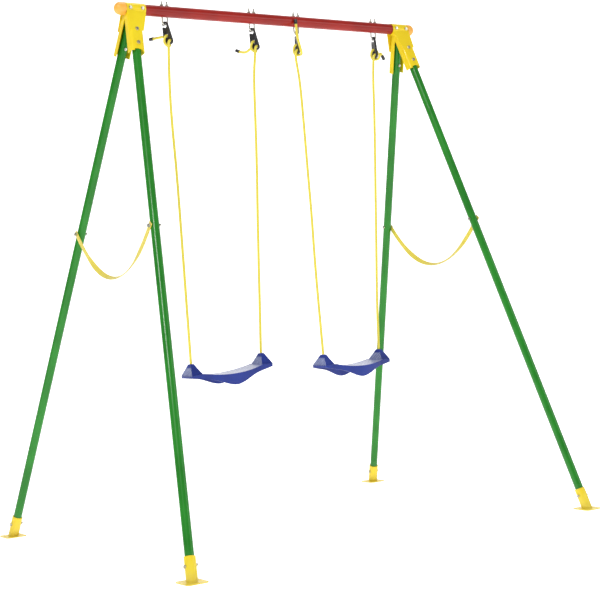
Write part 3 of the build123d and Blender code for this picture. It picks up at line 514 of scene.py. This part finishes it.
tail_points = [hanger_point(STANDING_INDEX, *p) for p in STANDING_TAIL]
line = spline_line(tail_points)
tail, path = rope_tube("right_inner_rope_tail_braid", line, ROPE_R * MM)
tail.data.materials.append(ROPE_LOOK)
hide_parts("right_inner_rope_tail")
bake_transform(tail)

# The cap on that tail stays leaning on the crossbar with the tail's top.
CAP_GRIP = 12.0
MERGE_DISTANCE = 0.00001
CAP_PROFILE = (
    (0.0, 0.0), (5.1, 0.0), (5.6, 0.15), (6.2, 0.5), (6.5, 1.1), (6.5, 6.0), (6.5, 12.0),
    (6.5, 17.2), (6.3, 18.2), (5.7, 18.8), (4.8, 19.0), (0.0, 19.0),
)


def turned(name, base, up, profile, around=48):
    """Solid of revolution about a line: radius and height pairs from axis to axis."""
    side = up.orthogonal().normalized()
    other = up.cross(side)
    verts, faces = [], []
    for radius, height in profile:
        for k in range(around):
            angle = 2 * pi * k / around
            off = side * (radius * cos(angle)) + other * (radius * sin(angle))
            verts.append((base + up * height + off) * MM)
    for i in range(len(profile) - 1):
        for k in range(around):
            faces.append(ring_face(i, k, around))
    piece = mesh_object(name, verts, faces)
    merge = piece.modifiers.new("merge", "WELD")
    merge.merge_threshold = MERGE_DISTANCE
    return piece


tail_up = (tail_points[-1] - tail_points[-2]).normalized()
cap_mouth = tail_points[-1] - tail_up * CAP_GRIP
cap = turned("right_inner_cap_moulding", cap_mouth, tail_up, CAP_PROFILE)
cap.data.materials.append(LOOKS["black_plastic"])
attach(cap, "frame")
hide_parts("right_inner_rope_cap")

# ---- Safety straps -----------------------------------------------------------------
STRAP_HEIGHT = 1152.0
STRAP_SAG = 172.0
STRAP_WIDTH = 19.6
STRAP_THICKNESS = 2.1
STRAP_TAB = 12.5
STRAP_ROLL = 58.0
STRAP_ROLL_END = 0.7
STRAP_STEPS = 260
STRAP_HALF_SPAN = FOOT_Y * (BAR_HEIGHT - STRAP_HEIGHT) / BAR_HEIGHT
SECTION_POINTS = 36
SELVEDGE = 0.14  # share of the half width that thickens, and how much of the thickness it adds
SECTION_EDGE = 0.35  # superellipse powers of the webbing's section
SECTION_FACE = 0.5
WEFT = 1.4  # millimetres for each unit of the webbing's UV map, across and along
WARP = 2.2


def strap_frame(x, share):
    """Middle, width direction and thickness direction of the webbing."""
    share_in = max(-1.0, min(1.0, share))
    ahead = Vector((0, STRAP_HALF_SPAN, 2 * STRAP_SAG * share_in)).normalized()
    height = STRAP_HEIGHT - STRAP_SAG * (1 - share_in**2)
    middle = Vector((x, STRAP_HALF_SPAN * share_in, height))
    middle += ahead * (share - share_in) * STRAP_HALF_SPAN
    roll = radians(STRAP_ROLL) * max(0.0, 1 - (share_in / STRAP_ROLL_END) ** 2)
    width = Vector((sin(roll), -ahead.z * cos(roll), ahead.y * cos(roll)))
    return middle, width, ahead.cross(width)


def webbing_outline():
    """Section of the webbing: flat faces with soft, slightly thicker selvedges."""
    outline = []
    for k in range(SECTION_POINTS):
        angle = 2 * pi * k / SECTION_POINTS
        c, s = cos(angle), sin(angle)
        a = abs(c) ** SECTION_EDGE * (1 if c > 0 else -1) * STRAP_WIDTH / 2
        b = abs(s) ** SECTION_FACE * (1 if s > 0 else -1) * STRAP_THICKNESS / 2
        edge = max(0.0, abs(a) / (STRAP_WIDTH / 2) - (1 - SELVEDGE)) / SELVEDGE
        outline.append((a, b * (1 - SELVEDGE + SELVEDGE * edge)))
    return outline


def make_strap(side):
    low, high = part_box(f"{side}_safety_strap")
    x = (low[0] + high[0]) / 2 / MM
    outline = webbing_outline()
    count = len(outline)
    verts, faces, uvs, along = [], [], [], 0.0
    reach = 1 + STRAP_TAB / STRAP_HALF_SPAN
    before = None
    places = []
    for step in range(STRAP_STEPS + 1):
        share = reach * (2 * step / STRAP_STEPS - 1)
        middle, width, thick = strap_frame(x, share)
        along += (middle - before).length if before else 0.0
        before = middle
        places.append(along)
        verts += [(middle + width * a + thick * b) * MM for a, b in outline]
    for step in range(STRAP_STEPS):
        for k in range(count):
            j = (k + 1) % count
            faces.append(ring_face(step, k, count))
            u0, u1 = outline[k][0] / WEFT, outline[j][0] / WEFT
            v0, v1 = places[step] / WARP, places[step + 1] / WARP
            uvs.append(((u0, v0), (u1, v0), (u1, v1), (u0, v1)))
    faces.append(tuple(reversed(range(count))))
    uvs.append(tuple((0, 0) for _ in range(count)))
    faces.append(tuple(STRAP_STEPS * count + k for k in range(count)))
    uvs.append(tuple((0, 0) for _ in range(count)))
    strap = mesh_object(f"{side}_strap_webbing", verts, faces, uvs)
    strap.data.materials.append(WEBBING_LOOK)
    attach(strap, "frame")
    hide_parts(f"{side}_safety_strap")


for side in SEATS:
    make_strap(side)

# ---- Knots under the seats' ears ---------------------------------------------------
KNOT_STEPS = 14
KNOT_DROP = 35.0
KNOT_TUBE = 4.2
KNOT_LOBE = 1.9
KNOT_DEPTH = 4.2
KNOT_START = 2.0  # below the top of the ear
KNOT_NECK = 14.0  # these three are measured from the start
KNOT_END = 44.0
KNOT_END_ACROSS = 1.5


def knot_route(top, down, across, deep):
    """Overhand knot: the rope drops into three crossing lobes and its end hangs out."""
    route = [top, top + down * KNOT_NECK]
    for k in range(KNOT_STEPS):
        t = 2 * pi * k / (KNOT_STEPS - 1)
        a = (sin(t) + 2 * sin(2 * t)) * KNOT_LOBE
        b = (cos(t) - 2 * cos(2 * t)) * KNOT_LOBE
        c = -sin(3 * t) * KNOT_DEPTH
        route.append(top + down * (KNOT_DROP + c) + across * a + deep * b)
    route.append(top + down * KNOT_END + across * KNOT_END_ACROSS)
    return route


for side in SEATS:
    axis = seat_axis(side)
    down = -axis.cross(Vector((0, 1, 0))).normalized() if side == "left" else Vector((0, 0, -1))
    for sign, place in ((-1, "a"), (1, "b")):
        top = SEATS[side][0] + axis * (sign * EAR_X) + down * KNOT_START
        line = spline_line(knot_route(top, down, axis, down.cross(axis)))
        name = f"{side}_seat_knot_{place}"
        knot, path = rope_tube(name, line, KNOT_TUBE * MM, around=20, step=0.0015)
        knot.data.materials.append(ROPE_LOOK)
        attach(knot, f"{side}_seat")
        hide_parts(f"{side}_seat_knots")

# ---- Floor and light ---------------------------------------------------------------
FLOOR_NEAR = -9.0  # metres from the origin, away from the photograph's camera
FLOOR_FAR = 6.0
FLOOR_HALF_WIDTH = 14.0
COVE = 3.0  # radius of the curve from floor to wall
WALL_TOP = 12.0
SURROUND_LIGHT = 0.36  # strength of the world where the camera does not see it


def make_stage():
    """Pale floor that curves up behind the object with no visible horizon."""
    verts, faces = [], []
    rows = [(FLOOR_NEAR, 0.0), (FLOOR_FAR, 0.0)]
    for angle in range(10, 91, 10):
        curve = radians(angle)
        rows.append((FLOOR_FAR + COVE * sin(curve), COVE - COVE * cos(curve)))
    rows.append((FLOOR_FAR + COVE, WALL_TOP))
    turn = Matrix.Rotation(-CAMERA_YAW, 3, "Z")
    for ahead, height in rows:
        for across in (-FLOOR_HALF_WIDTH, FLOOR_HALF_WIDTH):
            verts.append(turn @ Vector((across, ahead, height)))
    for k in range(len(rows) - 1):
        faces.append((2 * k, 2 * k + 1, 2 * k + 3, 2 * k + 2))
    floor = mesh_object("floor", verts, faces)
    look = Look("floor_paper")
    shade = look.mix(look.noise(0.6, 2.0), (0.95, 0.95, 0.95), (0.93, 0.93, 0.935))
    look.set(Roughness=0.75, Specular_IOR_Level=0.1)
    look.set(Emission_Color=(1.0, 1.0, 1.0, 1.0), Emission_Strength=0.78)
    floor.data.materials.append(look.finish(shade))


def area_light(name, at, aim, size, power):
    data = bpy.data.lights.new(name, "AREA")
    data.shape = "RECTANGLE"
    data.size, data.size_y = size
    data.energy = power
    lamp = bpy.data.objects.new(name, data)
    lamp.location = at
    aim = Vector(aim) - Vector(at)
    lamp.rotation_euler = aim.to_track_quat("-Z", "Y").to_euler()
    scene.collection.objects.link(lamp)


make_stage()
world = bpy.data.worlds.new("studio")
world.use_nodes = True
# The camera sees a white surround; the light it throws on the object is dimmer.
backdrop = world.node_tree.nodes["Background"]
backdrop.inputs["Color"].default_value = (1.0, 1.0, 1.0, 1.0)
light_path = world.node_tree.nodes.new("ShaderNodeLightPath")
strength = world.node_tree.nodes.new("ShaderNodeMapRange")
strength.inputs["To Min"].default_value = SURROUND_LIGHT
strength.inputs["To Max"].default_value = 1.0
world.node_tree.links.new(light_path.outputs["Is Camera Ray"], strength.inputs["Value"])
world.node_tree.links.new(strength.outputs["Result"], backdrop.inputs["Strength"])
scene.world = world
area_light("key", (-4.5, -3.0, 4.5), (0, 0, 1.0), (1.3, 1.3), 140.0)
area_light("fill", (3.5, -5.0, 3.0), (0, 0, 1.0), (2.4, 2.4), 48.0)
area_light("top", (0.0, 0.5, 5.5), (0, 0, 0.0), (3.0, 3.0), 70.0)
scene.view_settings.view_transform = "Standard"
